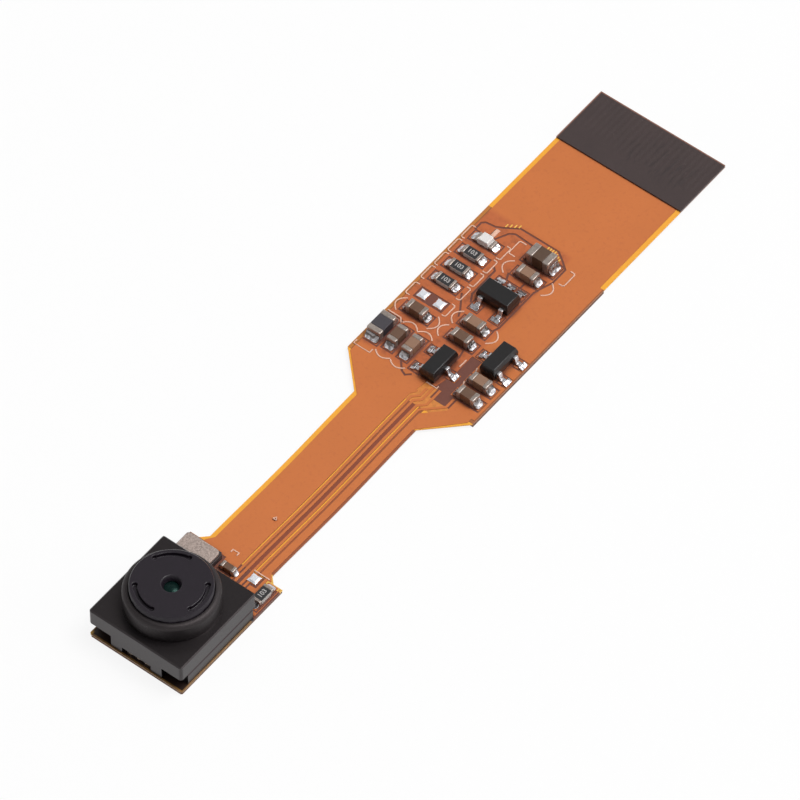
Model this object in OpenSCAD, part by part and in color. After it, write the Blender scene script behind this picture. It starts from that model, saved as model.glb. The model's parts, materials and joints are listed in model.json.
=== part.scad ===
// Camera module on a flexible circuit: a lens head at one end, a stiffened parts area,
// and a plug-in tail with gold contact fingers on its underside.
// Origin: on the optical axis, at the underside of the head stiffener.
// +Y runs from the lens to the contact tail, +Z is the way the lens looks.

/* [Flexible circuit] */
// Number of contact fingers on the tail
finger_count = 22; // [22:1:40]
// Distance from one contact finger to the next
finger_pitch = 0.5; // [0.5:0.05:1]
// Width of one contact finger
finger_w = 0.3; // [0.2:0.02:0.4]
// Length of one contact finger
finger_l = 3.5; // [2.5:0.25:5]
// Length of the full-width section, parts area and tail together
board_l = 30.4; // [26:0.2:50]
// Width of the narrow neck
neck_w = 5.7; // [5.2:0.1:8]
// Length of the straight part of the neck
neck_l = 16.6; // [10:0.2:60]
// How far the circuit widens on each side where the neck meets the head
neck_flare = 0.55; // [0.3:0.05:1]
// Thickness of the polyimide film
film_t = 0.12; // [0.08:0.01:0.2]
// Thickness of the copper with its cover layer
copper_t = 0.03; // [0.02:0.005:0.05]
// Width of bare film left along the edges of the copper
film_border = 0.36; // [0.2:0.02:0.5]

/* [Stiffeners] */
// Thickness of the plates under the head and under the parts area
plate_t = 0.25; // [0.2:0.05:0.5]
// Length of the plate under the parts area
parts_plate_l = 15.6; // [15.6:0.1:22]
// Thickness of the stiffener on top of the tail
tail_stiffener_t = 0.15; // [0.1:0.01:0.3]
// Length of the stiffener on top of the tail
tail_stiffener_l = 5.5; // [4:0.1:8]

/* [Lens holder] */
// Width and depth of the square block
holder_w = 8.4; // [8.2:0.1:10]
// Height of the skirt below the block
skirt_h = 1.33; // [1.2:0.05:2]
// How far the skirt stands back from the block's faces
skirt_step = 0.1; // [0.05:0.05:0.3]
// Height of the square block
block_h = 1.45; // [1:0.05:2.5]
// Outer radius of the round turret
turret_r = 3.55; // [3.5:0.05:4]
// Height of the turret above the block
turret_h = 1.65; // [1.4:0.05:2.5]
// Width of the tab between the two corner notches
tab_w = 4.6; // [3.5:0.1:5.5]
// Depth of the corner notches and of the slot in the tab
notch_d = 0.75; // [0.5:0.05:0.9]
// Width of the slot at the foot of the tab
slot_w = 2.6; // [2.4:0.1:3]
// Height of the slot at the foot of the tab
slot_h = 0.6; // [0.5:0.05:0.9]
// Width of the cavity over the sensor
cavity_w = 6; // [5.8:0.1:6.2]

/* [Lens barrel] */
// Radius of the barrel's round head
barrel_head_r = 3.04; // [3.0:0.01:3.1]
// How far the barrel's head stands above the turret
barrel_proud = 0.5; // [0.2:0.05:1]
// Radius of the threaded body of the barrel
barrel_body_r = 2.9; // [2.8:0.01:2.95]
// Radius of the aperture at the foot of its cone
aperture_r = 0.55; // [0.4:0.05:0.7]
// Radius of the aperture cone at the barrel's face
cone_r = 0.75; // [0.7:0.01:1.2]
// Number of key slots in the barrel's face
key_slots = 3; // [2:1:4]
// Depth of the key slots
key_slot_d = 0.3; // [0.1:0.05:0.4]
// Outer radii of the four lens elements, front to rear
lens_radii = [1.27, 1.67, 2.02, 2.37];
// Edge thicknesses of the four lens elements, front to rear
lens_edges = [0.45, 0.45, 0.5, 0.55];

/* [Sensor] */
// Width of the image sensor
sensor_w = 5.5; // [5:0.1:5.7]
// Depth of the image sensor
sensor_d = 4.9; // [4.5:0.1:5.5]
// Thickness of the sensor die
die_t = 0.35; // [0.2:0.05:0.4]
// Thickness of the sensor's cover glass
cover_t = 0.4; // [0.3:0.05:0.45]
// Width of the infrared filter
filter_w = 5.2; // [4.8:0.1:5.6]
// Thickness of the infrared filter
filter_t = 0.3; // [0.2:0.05:0.35]

/* [Small parts] */
// Length of the small chip parts
chip_l = 1.6; // [1.4:0.05:1.7]
// Width of the small chip parts
chip_w = 0.85; // [0.6:0.05:0.9]
// Height of the small capacitors
capacitor_h = 0.8; // [0.4:0.05:1]
// Height of the resistors
resistor_h = 0.45; // [0.35:0.05:0.6]
// Length of the large chip parts
large_l = 2; // [1.8:0.1:2.2]
// Width of the large chip parts
large_w = 1.25; // [1:0.05:1.35]
// Height of the large chip parts
large_h = 1.2; // [0.8:0.05:1.4]
// Length of the bodies of the leaded packages
package_l = 2.9; // [2.7:0.1:3.1]
// Width of the three-lead bodies
package_w = 1.35; // [1.2:0.05:1.5]
// Height of the leaded packages above the pads
package_h = 1.1; // [0.9:0.05:1.3]
// Spacing of the leads
lead_pitch = 0.95; // [0.8:0.05:1]
// Width of one lead
lead_w = 0.38; // [0.3:0.02:0.45]
// Length of the solder fillets
fillet_l = 0.42; // [0.3:0.02:0.45]
// Pitch of the resistor rows
row_pitch = 1.6; // [1.45:0.05:2]

/* [Hidden] */
$fn = 96;

// Heights of the layers, from the surface that the part lies on
film_z = plate_t;
film_top = film_z + film_t;
pad_top = film_top + copper_t;

// Plan of the circuit, from the head's free edge to the end of the tail
board_w = (finger_count + 1) * finger_pitch;
head_lip = 0;
head_w = holder_w + 2 * head_lip;
head_shelf = 2.95;
head_corner = 0.1;
head_y = -holder_w / 2 - head_lip;
shelf_y = holder_w / 2 + head_shelf;
neck_y = shelf_y + neck_flare;
taper_y = neck_y + neck_l;
board_y = taper_y + (board_w - neck_w) / 2;
tail_y = board_y + board_l;
stiffener_y = tail_y - tail_stiffener_l;
plate_end_y = board_y + parts_plate_l;

// Sag of the neck between the two plates: it hangs just clear of the surface
floor_gap = 0.02;
sag_depth = plate_t - copper_t - floor_gap;
sag_steps = 12;
function sag(t) = -sag_depth * (1 - cos(360 * t)) / 2;
function sag_line(z) = [
    for (i = [0 : sag_steps]) [neck_y + (taper_y - neck_y) * i / sag_steps, z + sag(i / sag_steps)]
];
function reversed(list) = [for (i = [len(list) - 1 : -1 : 0]) list[i]];

// A straight-sided strip along a path, with mitred corners
function unit(v) = v / norm(v);
function left_of(v) = [-v.y, v.x];
function heading(p, i) = unit(p[min(i + 1, len(p) - 1)] - p[min(i, len(p) - 2)]);
function beside(p, i, d) =
    let (before = left_of(heading(p, max(i - 1, 0))), after = left_of(heading(p, i)),
         middle = unit(before + after))
    p[i] + middle * d / (middle * before);
function strip(p, w) = concat(
    [for (i = [0 : len(p) - 1]) beside(p, i, w / 2)],
    reversed([for (i = [0 : len(p) - 1]) beside(p, i, -w / 2)])
);

// A rectangle with rounded corners, centred on the origin
function rounded_rect(w, d, r, steps = 4) = [
    for (q = [0 : 3], k = [0 : steps])
        let (a = 90 * q + 90 * k / steps,
             cx = (w / 2 - r) * (q == 0 || q == 3 ? 1 : -1),
             cy = (d / 2 - r) * (q < 2 ? 1 : -1))
        [cx + r * cos(a), cy + r * sin(a)]
];

// Places of the small parts on the circuit: [x, y, turn], the turn in degrees
left_x = 2 - board_w / 2;
right_x = board_w / 2 - 1.65;
lamp_place = [left_x, board_y + 13.8, 0];
function resistor_place(i) = [left_x, board_y + 13.8 - i * row_pitch, 0];
head_resistor_place = [holder_w / 2 - 0.75, shelf_y - 1.35, 90];
capacitor_places = [
    [left_x + 0.1, board_y + 5.5, 0],
    [left_x + 0.45, board_y + 2.75, 90],
    [left_x + 1.85, board_y + 2.7, 90],
    [0.45, board_y + 7.05, 0],
    [0.5, board_y + 5.45, 0],
    [right_x, board_y + 3.05, 0],
    [right_x, board_y + 1.55, 0],
    [0.7, board_y + 13.05, 0],
    [0.1, shelf_y - 1, 0]
];
last_capacitor = len(capacitor_places) - 1;
supply_place = [0.7, board_y + 14.75, 0];
bead_place = [left_x - 1.05, board_y + 2.8, 90];
spare_place = [left_x + 0.15, board_y + 7.15, 0];
spare_pitch = 1.5;
head_pad_place = [2.05, shelf_y - 0.5, 0];
regulator_place = [0.3, board_y + 10.05, 0];
left_transistor_place = [0.7, board_y + 2.5, 90];
right_transistor_place = [right_x - 0.15, board_y + 5.4, -90];
crystal_place = [-2.5, shelf_y - 1.6, 0];
slot_part_pitch = 0.75;
slot_places = [for (i = [-1 : 1]) [i * slot_part_pitch, notch_d / 2 - holder_w / 2 + skirt_step, 0]];

module at(place, z = pad_top) {
    translate([place.x, place.y, z]) rotate(place[2]) children();
}

// ---- Flexible circuit ----

// The film's outline: head pad, flare, neck, 45-degree taper and full-width section
module circuit_outline() {
    head = head_w / 2;
    neck = neck_w / 2;
    board = board_w / 2;
    right = [
        [head - head_corner, head_y], [head, head_y + head_corner], [head, shelf_y],
        [neck + neck_flare, shelf_y], [neck, neck_y], [neck, taper_y],
        [board, board_y], [board, tail_y]
    ];
    polygon(concat(right, [for (p = reversed(right)) [-p.x, p.y]]));
}

// A layer of the circuit, which follows the sag of the neck
module layer(z, t) {
    line = concat([[head_y - 1, z]], sag_line(z), [[tail_y + 1, z]]);
    side = concat(line, [for (p = reversed(line)) [p.x, p.y + t]]);
    intersection() {
        translate([-board_w, 0, 0]) rotate([90, 0, 90]) linear_extrude(2 * board_w) polygon(side);
        translate([0, 0, -1]) linear_extrude(3) children();
    }
}

module base_film() {
    color("goldenrod") layer(film_z, film_t) circuit_outline();
}

// Signal tracks of the neck: two pairs that run from the parts area to the head
pair_gap = 0.28;
track_w = 0.2;
track_gap = 0.14;
slot_left = 0.46;
track_xs = [for (i = [0 : 3])
    slot_left + track_gap + track_w / 2 + i * (track_w + track_gap) + (i > 1 ? pair_gap - track_gap : 0)];
slot_right = track_xs[3] + track_w / 2 + track_gap;
track_y = holder_w / 2 - skirt_step + 0.05;
first_turn = board_y - 0.75;
track_ends = [1.15, 1.5, 2.05, 3.3];
track_tops = [0.5, 0.85, 0.95, 0.95];
function track_path(i) =
    let (turn = first_turn - 0.22 * i, step = track_ends[i] - track_xs[i])
    [[track_xs[i], track_y], [track_xs[i], turn],
     [track_ends[i], turn + step], [track_ends[i], board_y + track_tops[i]]];

// Copper that fills the tail, with its sides drawn in to leave a border of bare film
film_edge = board_w / 2 - film_border;
plate_edge = board_w / 2 - 0.1;
module tail_pour() {
    translate([-film_edge, plate_end_y - 0.5]) square([2 * film_edge, stiffener_y - plate_end_y + 0.5]);
}

// Copper of the neck, left of the tracks
module left_pour() {
    edge = neck_w / 2 - film_border;
    board = board_w / 2 - film_border;
    shelf = head_w / 2 - 0.2;
    polygon([
        [slot_left, track_y], [slot_left, first_turn + 0.13], [0.75, first_turn + 0.52],
        [0.75, board_y + 0.3], [-board, board_y + 0.3], [-board, board_y - 0.15],
        [-edge, taper_y - 0.15], [-edge, neck_y + 0.15], [-edge - neck_flare + 0.1, shelf_y + 0.1],
        [-edge - neck_flare + 0.1, shelf_y - 0.1], [-shelf, shelf_y - 0.1], [-shelf, track_y]
    ]);
}

// Copper of the neck, right of the tracks
module right_pour() {
    edge = neck_w / 2 - film_border / 2;
    board = board_w / 2 - film_border;
    turn = board_y - 1.65;
    shelf = head_w / 2 - 0.12;
    polygon([
        [slot_right, track_y], [slot_right, turn], [3.55, turn + 3.55 - slot_right],
        [3.55, board_y + 0.45], [board, board_y + 0.45], [board, board_y - 0.15],
        [edge, taper_y - 0.15], [edge, neck_y + 0.15], [edge + neck_flare - 0.1, shelf_y + 0.1],
        [edge + neck_flare - 0.1, shelf_y - 0.1], [shelf, shelf_y - 0.1], [shelf, track_y]
    ]);
}

// Copper of the parts area: one sheet, cut by clearances round the parts and by narrow gaps
sheet_gap = 0.16;
pad_clearance = 0.15;
sheet_start = board_y + 0.3;
arch_y = board_y + 16.4;
arch_side = 2.4;
middle_gap_x = 1.88;

// Places in the parts area are given as [x, distance from its start]
function on_board(path) = [for (p = path) [p.x, board_y + p.y]];
sheet_gaps = [
    on_board([[-5.15, 14.3], [-5.15, 15.05], [-4.9, 15.3], [-4.1, 15.4], [-3.62, 15.65],
              [-2.5, arch_y - board_y], [1, arch_y - board_y], [1.84, 15.8], [arch_side, 15.35],
              [arch_side, 13.8], [2, 12.7], [middle_gap_x, 12.15], [middle_gap_x, 8.1], [1.7, 7.6]]),
    on_board([[-3.5, 14.3], [-2.9, 15.5], [-2.5, 15.75], [-0.87, 15.65], [-0.8, 15.4]]),
    on_board([[-2.3, 1.9], [-1.8, 1.25], [-1.3, 0.68], [-0.87, 0.5], [-0.5, 0.85]]),
    on_board([[-2.25, 9], [-2, 8.6], [-1.35, 7.65], [-1.1, 7.1]]),
    on_board([[-0.72, 12.6], [-0.35, 11.8]]),
    on_board([[0.85, 12.6], [0.85, 11.8]]),
    on_board([[-1.95, 12.4], [-1.6, 12.1], [-1.6, 9.4], [-1.2, 8.7]]),
    on_board([[1.1, 4.9], [1.25, 4.2], [1.2, 3.2]])
];

// Film left bare between the left transistor and the right column, where the tracks come in
module bare_area() {
    polygon(on_board([
        [0.6, 0], [0.75, 0.95], [1.55, 1.05], [1.75, 2], [1.95, 3.1], [1.95, 4.85],
        [2.85, 4.85], [2.85, 3.1], [2.95, 1.4], [3.55, 0.95], [3.55, 0]
    ]));
}

// Bare film round a chip part or a row of pads
module clearance(place, l, w) {
    translate([place.x, place.y]) rotate(place[2])
        square([l + 2 * pad_clearance, w + 2 * pad_clearance], center = true);
}

module clearances() {
    for (c = soldered_chips) clearance(c[0], c[1][0] + 2 * fillet_l, c[1][1]);
    for (p = packages) lead_clearances(p[0], p[1], p[2]);
    clearance(spare_place, spare_pitch + spare_w, spare_w);
    clearance(head_pad_place, spare_w, spare_w);
    clearance(crystal_place, crystal_w, crystal_d);
}

module parts_sheet() {
    polygon([
        [-film_edge, sheet_start], [plate_edge, sheet_start], [plate_edge, plate_end_y],
        [film_edge, plate_end_y], [film_edge, plate_end_y + 1], [-film_edge, plate_end_y + 1]
    ]);
}

module top_copper() {
    color("peru") layer(film_top, copper_t) {
        difference() {
            union() {
                tail_pour();
                parts_sheet();
                left_pour();
                right_pour();
            }
            bare_area();
            clearances();
            for (path = sheet_gaps) polygon(strip(path, sheet_gap));
        }
        pads();
        for (i = [0 : 3]) polygon(strip(track_path(i), track_w));
    }
}

// Rows of plated holes where the tail's tracks come up through the film
via_w = 0.1;
via_l = 0.32;
via_t = 0.01;
left_vias = [for (i = [0 : 3]) [-3.5 + 0.28 * i, arch_y - 0.4 + 0.17 * i]];
right_vias = [for (i = [0 : 6]) [0.2 + 0.22 * i, arch_y - 0.24 - 0.14 * max(0, i - 3)]];

module via_pads() {
    color("gold") translate([0, 0, pad_top]) linear_extrude(via_t)
        for (p = concat(left_vias, right_vias)) translate(p) square([via_w, via_l], center = true);
}

function finger_x(i) = (i - (finger_count - 1) / 2) * finger_pitch;

module contact_fingers() {
    color("gold") translate([0, 0, film_z - copper_t]) linear_extrude(copper_t)
        for (i = [0 : finger_count - 1])
            translate([finger_x(i) - finger_w / 2, tail_y - finger_l]) square([finger_w, finger_l]);
}

// Underside: a track from each finger to the parts area, and a ground fill under the neck
underside_track_w = 0.2;
underside_gap = 0.1;
module bottom_copper() {
    edge = neck_w / 2 - film_border;
    color("peru") layer(film_z - copper_t, copper_t) {
        for (i = [0 : finger_count - 1])
            translate([finger_x(i) - underside_track_w / 2, plate_end_y + underside_gap])
                square([underside_track_w, tail_y - finger_l - plate_end_y - 2 * underside_gap]);
        polygon([
            [-edge, shelf_y + underside_gap], [edge, shelf_y + underside_gap],
            [edge, board_y - underside_gap], [-edge, board_y - underside_gap]
        ]);
    }
}

// ---- Stiffeners ----

module tail_stiffener() {
    color("saddlebrown") translate([-board_w / 2, stiffener_y, film_top])
        cube([board_w, tail_stiffener_l, tail_stiffener_t]);
}

module parts_stiffener() {
    color("saddlebrown") translate([-board_w / 2, board_y, 0]) cube([board_w, parts_plate_l, plate_t]);
}

plate_inset = 0.04;
module head_stiffener() {
    side = head_w / 2 - plate_inset;
    front = head_y + plate_inset;
    color("saddlebrown") linear_extrude(plate_t) polygon([
        [side - head_corner, front], [side, front + head_corner], [side, shelf_y],
        [-side, shelf_y], [-side, front + head_corner], [head_corner - side, front]
    ]);
}

// ---- Lens holder ----

block_z = film_top + skirt_h;
block_top = block_z + block_h;
rim_z = block_top + turret_h;
skirt_w = holder_w - 2 * skirt_step;
ledge_t = 0.3;
bore_clearance = 0.03;
bore_r = barrel_body_r + bore_clearance;
head_gap = 0.12;
head_seat_z = rim_z - 0.7;
window_w = filter_w - 0.8;
block_corner = 0.22;
block_bevel = 0.1;
rim_round = 0.22;

// Side profile of the block: a rectangle with its top corners cut
module block_profile(w, h, bevel) {
    polygon([
        [-w / 2, 0], [w / 2, 0], [w / 2, h - bevel], [w / 2 - bevel, h],
        [-w / 2 + bevel, h], [-w / 2, h - bevel]
    ]);
}

module holder_block() {
    intersection() {
        rotate([90, 0, 0]) linear_extrude(holder_w, center = true) block_profile(holder_w, block_h, block_bevel);
        rotate([90, 0, 90]) linear_extrude(holder_w, center = true) block_profile(holder_w, block_h, block_bevel);
        linear_extrude(block_h) polygon(rounded_rect(holder_w, holder_w, block_corner));
    }
}

// Round turret with a rounded rim
module turret() {
    inner = barrel_head_r + head_gap;
    rotate_extrude() polygon(concat(
        [[0, 0], [turret_r, 0]],
        [for (a = [0 : 22.5 : 90]) [turret_r - rim_round * (1 - cos(a)), turret_h - rim_round * (1 - sin(a))]],
        [[inner, turret_h], [0, turret_h]]
    ));
}

module lens_holder() {
    notch_w = (skirt_w - tab_w) / 2;
    color("dimgray") difference() {
        union() {
            translate([0, 0, film_top]) linear_extrude(skirt_h)
                polygon(rounded_rect(skirt_w, skirt_w, block_corner));
            translate([0, 0, block_z]) holder_block();
            translate([0, 0, block_top]) turret();
        }
        translate([-cavity_w / 2, -cavity_w / 2, film_top - 1]) cube([cavity_w, cavity_w, 1 + skirt_h - ledge_t / 6]);
        translate([-window_w / 2, -window_w / 2, film_top]) cube([window_w, window_w, skirt_h + ledge_t]);
        translate([0, 0, block_z + ledge_t - ledge_t / 6]) cylinder(r = bore_r, h = block_h + turret_h);
        translate([0, 0, head_seat_z]) cylinder(r = barrel_head_r + head_gap, h = turret_h);
        for (side = [-1, 1])
            translate([side * (tab_w + notch_w + 1) / 2 - (notch_w + 1) / 2, -holder_w / 2, film_top - 1])
                cube([notch_w + 1, skirt_step + notch_d, 1 + skirt_h]);
        translate([-slot_w / 2, -holder_w / 2, film_top - 1]) cube([slot_w, skirt_step + notch_d, 1 + slot_h]);
    }
}

// ---- Lens barrel and optics ----

barrel_top = rim_z + barrel_proud;
barrel_bottom = block_z + ledge_t;
head_float = 0.08;
barrel_edge = 0.07;
front_wall = 0.5;
lens_fit = 0.02;
spacer_t = 0.12;
ring_t = 0.25;
optic_facets = 48;
function bore(i) = lens_radii[i] + lens_fit;

// Seats of the lens elements, each behind the one in front of it
first_seat = barrel_top - front_wall;
function seat(i) = i == 0 ? first_seat : rear_of(i - 1) - spacer_t;
function rear_of(i) = seat(i) - lens_edges[i];

// Arc-shaped slot with round ends, seen from above
slot_r = 2.58;
slot_half_w = 0.14;
slot_end_r = 0.2;
slot_angle = 56;
slot_turn = 8;
module key_slot() {
    arc = [for (a = [-slot_angle / 2 : slot_angle / 8 : slot_angle / 2]) a];
    polygon(concat(
        [for (a = arc) (slot_r + slot_half_w) * [cos(a), sin(a)]],
        [for (a = reversed(arc)) (slot_r - slot_half_w) * [cos(a), sin(a)]]
    ));
    for (side = [-1, 1]) rotate(side * slot_angle / 2) translate([slot_r, 0]) circle(r = slot_end_r, $fn = 24);
}

module lens_barrel() {
    color("black") difference() {
        rotate_extrude() polygon([
            [cone_r, barrel_top], [barrel_head_r - barrel_edge, barrel_top],
            [barrel_head_r, barrel_top - barrel_edge], [barrel_head_r, head_seat_z + head_float],
            [barrel_body_r, head_seat_z + head_float], [barrel_body_r, barrel_bottom],
            [bore(3), barrel_bottom], [bore(3), rear_of(2)], [bore(2), rear_of(2)],
            [bore(2), rear_of(1)], [bore(1), rear_of(1)], [bore(1), rear_of(0)],
            [bore(0), rear_of(0)], [bore(0), first_seat], [aperture_r, first_seat],
            [aperture_r, first_seat + front_wall / 5]
        ]);
        for (i = [0 : key_slots - 1]) rotate(slot_turn + i * 360 / key_slots)
            translate([0, 0, barrel_top - key_slot_d]) linear_extrude(key_slot_d + 1) key_slot();
    }
}

// One lens element: flat edge and two curved faces; a positive sag bulges outward
sag_points = 4;
module element(i, front_r, front_sag, rear_r, rear_sag) {
    color("lightcyan") translate([0, 0, rear_of(i)]) rotate_extrude($fn = optic_facets) polygon(concat(
        [for (k = [0 : sag_points])
            [rear_r * k / sag_points, -rear_sag * (1 - pow(k / sag_points, 2))]],
        [[lens_radii[i], 0], [lens_radii[i], lens_edges[i]]],
        [for (k = [sag_points : -1 : 0])
            [front_r * k / sag_points, lens_edges[i] + front_sag * (1 - pow(k / sag_points, 2))]]
    ));
}

module front_lens() { element(0, aperture_r - 0.02, 0.14, 0.8, 0.06); }
module second_lens() { element(1, 1.1, -0.1, 1.2, 0.08); }
module third_lens() { element(2, 1.4, -0.12, 1.5, 0.08); }
module rear_lens() { element(3, 1.7, -0.12, 1.8, -0.15); }

// A thin ring behind element i, in the bore of the next element
module spacer(i) {
    color("dimgray") translate([0, 0, seat(i + 1)]) rotate_extrude($fn = optic_facets)
        polygon([
            [0.8 * lens_radii[i], 0], [lens_radii[i + 1], 0],
            [lens_radii[i + 1], spacer_t], [0.8 * lens_radii[i], spacer_t]
        ]);
}

module front_spacer() { spacer(0); }
module middle_spacer() { spacer(1); }
module rear_spacer() { spacer(2); }

module retaining_ring() {
    color("dimgray") translate([0, 0, rear_of(3) - ring_t]) rotate_extrude($fn = optic_facets)
        polygon([
            [0.82 * lens_radii[3], 0], [lens_radii[3], 0],
            [lens_radii[3], ring_t], [0.78 * lens_radii[3], ring_t]
        ]);
}

// ---- Image sensor ----

ball_t = 0.08;
ball_w = 0.28;
ball_columns = 7;
ball_rows = 6;
die_z = film_top + ball_t;
filter_top = block_z - ledge_t / 6;

// A plate centred on the optical axis
module plate(w, d, z, t) {
    translate([-w / 2, -d / 2, z]) cube([w, d, t]);
}

module infrared_filter() {
    color("lightblue") plate(filter_w, filter_w, filter_top - filter_t, filter_t);
}

module sensor_cover_glass() {
    color("azure") plate(sensor_w - 0.1, sensor_d - 0.1, die_z + die_t, cover_t);
}

module sensor_die() {
    color("slategray") plate(sensor_w, sensor_d, die_z, die_t);
}

module sensor_solder_balls() {
    color("silver") translate([0, 0, film_top]) linear_extrude(ball_t)
        for (i = [0 : ball_columns - 1], k = [0 : ball_rows - 1])
            translate([
                (i / (ball_columns - 1) - 0.5) * (sensor_w - 2 * ball_w),
                (k / (ball_rows - 1) - 0.5) * (sensor_d - 2 * ball_w)
            ]) square(ball_w, center = true);
}

// ---- Chip parts ----

// Sizes: [length, width, height, share of the length that each end cap takes]
chip_size = [chip_l, chip_w, capacitor_h, 0.22];
tiny_size = [0.75 * chip_l, 0.68 * chip_w, 0.62 * capacitor_h, 0.22];
supply_size = [large_l, large_w, large_h, 0.27];
bead_size = [large_l, large_w, 0.72 * large_h, 0.22];
resistor_size = [chip_l, chip_w, resistor_h, 0.16];
lamp_size = [chip_l, chip_w, 0.3, 0.18];
speck_size = [0.6, 0.3, 0.3, 0.25];
skin = 0.02;
coat_t = 0.04;
end_round = 0.07;

function capacitor_size(i) = i == last_capacitor ? tiny_size : chip_size;

// Every chip part that has end caps and solder: [place, size]
soldered_chips = concat(
    [for (i = [0 : last_capacitor]) [capacitor_places[i], capacitor_size(i)]],
    [[supply_place, supply_size], [bead_place, bead_size], [lamp_place, lamp_size]],
    [for (i = [1 : 3]) [resistor_place(i), resistor_size]],
    [[head_resistor_place, resistor_size]]
);
slot_chips = [for (p = slot_places) [p, speck_size]];

function cap_l(size) = size[0] * size[3];

// The ceramic body between the end caps
module chip_body(place, size, top = skin) {
    at(place) translate([cap_l(size) - size[0] / 2, skin - size[1] / 2, skin])
        cube([size[0] - 2 * cap_l(size), size[1] - 2 * skin, size[2] - skin - top]);
}

module chip_end_caps(place, size) {
    at(place) for (side = [0, 1]) mirror([side, 0, 0])
        translate([size[0] / 2 - cap_l(size), 0, size[2] / 2]) rotate([90, 0, 90])
            linear_extrude(cap_l(size)) polygon(rounded_rect(size[1], size[2], end_round, 2));
}

// Solder that runs down from the end cap to the pad
module chip_solder(place, size) {
    l = fillet_l * (size == tiny_size ? 0.6 : 1);
    h = size[2] * 0.62;
    w = size[1] - 0.06;
    at(place) for (side = [0, 1]) mirror([side, 0, 0]) translate([size[0] / 2, 0, 0]) intersection() {
        rotate([90, 0, 0]) linear_extrude(w, center = true) polygon([
            [0, 0], [l, 0], [l, 0.1 * h], [0.72 * l, 0.28 * h], [0.42 * l, 0.5 * h], [0.16 * l, 0.8 * h], [0, h]
        ]);
        linear_extrude(size[2]) polygon([
            [0, -w / 2], [0.6 * l, -w / 2], [l, 0.12 - w / 2], [l, w / 2 - 0.12], [0.6 * l, w / 2], [0, w / 2]
        ]);
    }
}

module capacitor(i) {
    color("tan") chip_body(capacitor_places[i], capacitor_size(i));
}

module capacitor_1() { capacitor(0); }
module capacitor_2() { capacitor(1); }
module capacitor_3() { capacitor(2); }
module capacitor_4() { capacitor(3); }
module capacitor_5() { capacitor(4); }
module capacitor_6() { capacitor(5); }
module capacitor_7() { capacitor(6); }
module capacitor_8() { capacitor(7); }
module capacitor_9() { capacitor(8); }
module supply_capacitor() { color("tan") chip_body(supply_place, supply_size); }
module ferrite_bead() { color("dimgray") chip_body(bead_place, bead_size); }
module slot_capacitors() { color("tan") for (c = slot_chips) chip_body(c[0], c[1]); }

module resistor_1() { color("white") chip_body(resistor_place(1), resistor_size, coat_t + skin); }
module resistor_2() { color("white") chip_body(resistor_place(2), resistor_size, coat_t + skin); }
module resistor_3() { color("white") chip_body(resistor_place(3), resistor_size, coat_t + skin); }
module head_resistor() { color("white") chip_body(head_resistor_place, resistor_size, coat_t + skin); }

module resistor_coats() {
    w = chip_w - 4 * skin;
    l = chip_l - 2 * cap_l(resistor_size);
    color("darkslategray")
        for (p = [resistor_place(1), resistor_place(2), resistor_place(3), head_resistor_place])
            at(p, pad_top + resistor_h - skin - coat_t) translate([-l / 2, -w / 2, 0]) cube([l, w, coat_t]);
}

module end_caps() {
    color("silver") for (c = concat(soldered_chips, slot_chips)) chip_end_caps(c[0], c[1]);
}

module lamp_base() { color("white") chip_body(lamp_place, lamp_size); }

// Cast lens of the lamp, with drafted ends
module lamp_lens() {
    l = lamp_size[0] - 2 * cap_l(lamp_size);
    w = lamp_size[1] - 2 * skin;
    color("whitesmoke") at(lamp_place, pad_top + lamp_size[2] - skin)
        rotate([90, 0, 0]) linear_extrude(w, center = true)
            polygon([[-l / 2, 0], [l / 2, 0], [l / 2 - 0.1, 0.3], [0.1 - l / 2, 0.3]]);
}

// ---- Leaded packages ----

standoff = 0.06;
body_h = package_h - standoff;
lead_t = 0.12;
lead_run = 0.62;
toe_l = 0.4;
toe_w = lead_w + 0.34;
wide_package_w = package_w + 0.25;
package_draft = 0.12;
foot_draft = 0.07;

// Side profile of a moulded body: widest at mid height, where the leads come out
function moulding(w) = [
    [foot_draft - w / 2, 0], [w / 2 - foot_draft, 0], [w / 2, 0.4 * body_h], [w / 2, 0.6 * body_h],
    [w / 2 - package_draft, body_h], [package_draft - w / 2, body_h], [-w / 2, 0.6 * body_h], [-w / 2, 0.4 * body_h]
];

module package_body(place, w) {
    color("black") at(place, pad_top + standoff) intersection() {
        rotate([90, 0, 0]) linear_extrude(w + 1, center = true) polygon(moulding(package_l));
        rotate([90, 0, 90]) linear_extrude(package_l + 1, center = true) polygon(moulding(w));
    }
}

// Leads of one package: [offset along the body, side of the body]
three_leads = [[-lead_pitch, 1], [lead_pitch, 1], [0, -1]];
five_leads = [[-lead_pitch, 1], [0, 1], [lead_pitch, 1], [-lead_pitch, -1], [lead_pitch, -1]];

// A gull-wing lead: out of the body, down and along the pad
function gull_wing(w) = strip([
    [w / 2, standoff + body_h / 2], [w / 2 + 0.16, standoff + body_h / 2],
    [w / 2 + 0.3, lead_t / 2], [w / 2 + lead_run, lead_t / 2]
], lead_t);

module package_leads(place, w, leads) {
    color("silver") at(place) for (lead = leads) translate([lead[0], 0, 0]) facing(lead[1])
        rotate([90, 0, 90]) linear_extrude(lead_w, center = true) polygon(gull_wing(w));
}

module facing(side) {
    mirror([0, side < 0 ? 1 : 0, 0]) children();
}

// Solder at the toe of each lead
module lead_solder(place, w, leads) {
    at(place) for (lead = leads) translate([lead[0], 0, 0]) facing(lead[1]) translate([0, w / 2 + lead_run, 0])
        rotate([90, 0, 90]) linear_extrude(toe_w, center = true) polygon([
            [0, 0], [toe_l, 0], [toe_l, 0.05], [0.6 * toe_l, 0.13], [0.2 * toe_l, 0.2], [0, 0.2]
        ]);
}

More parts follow.
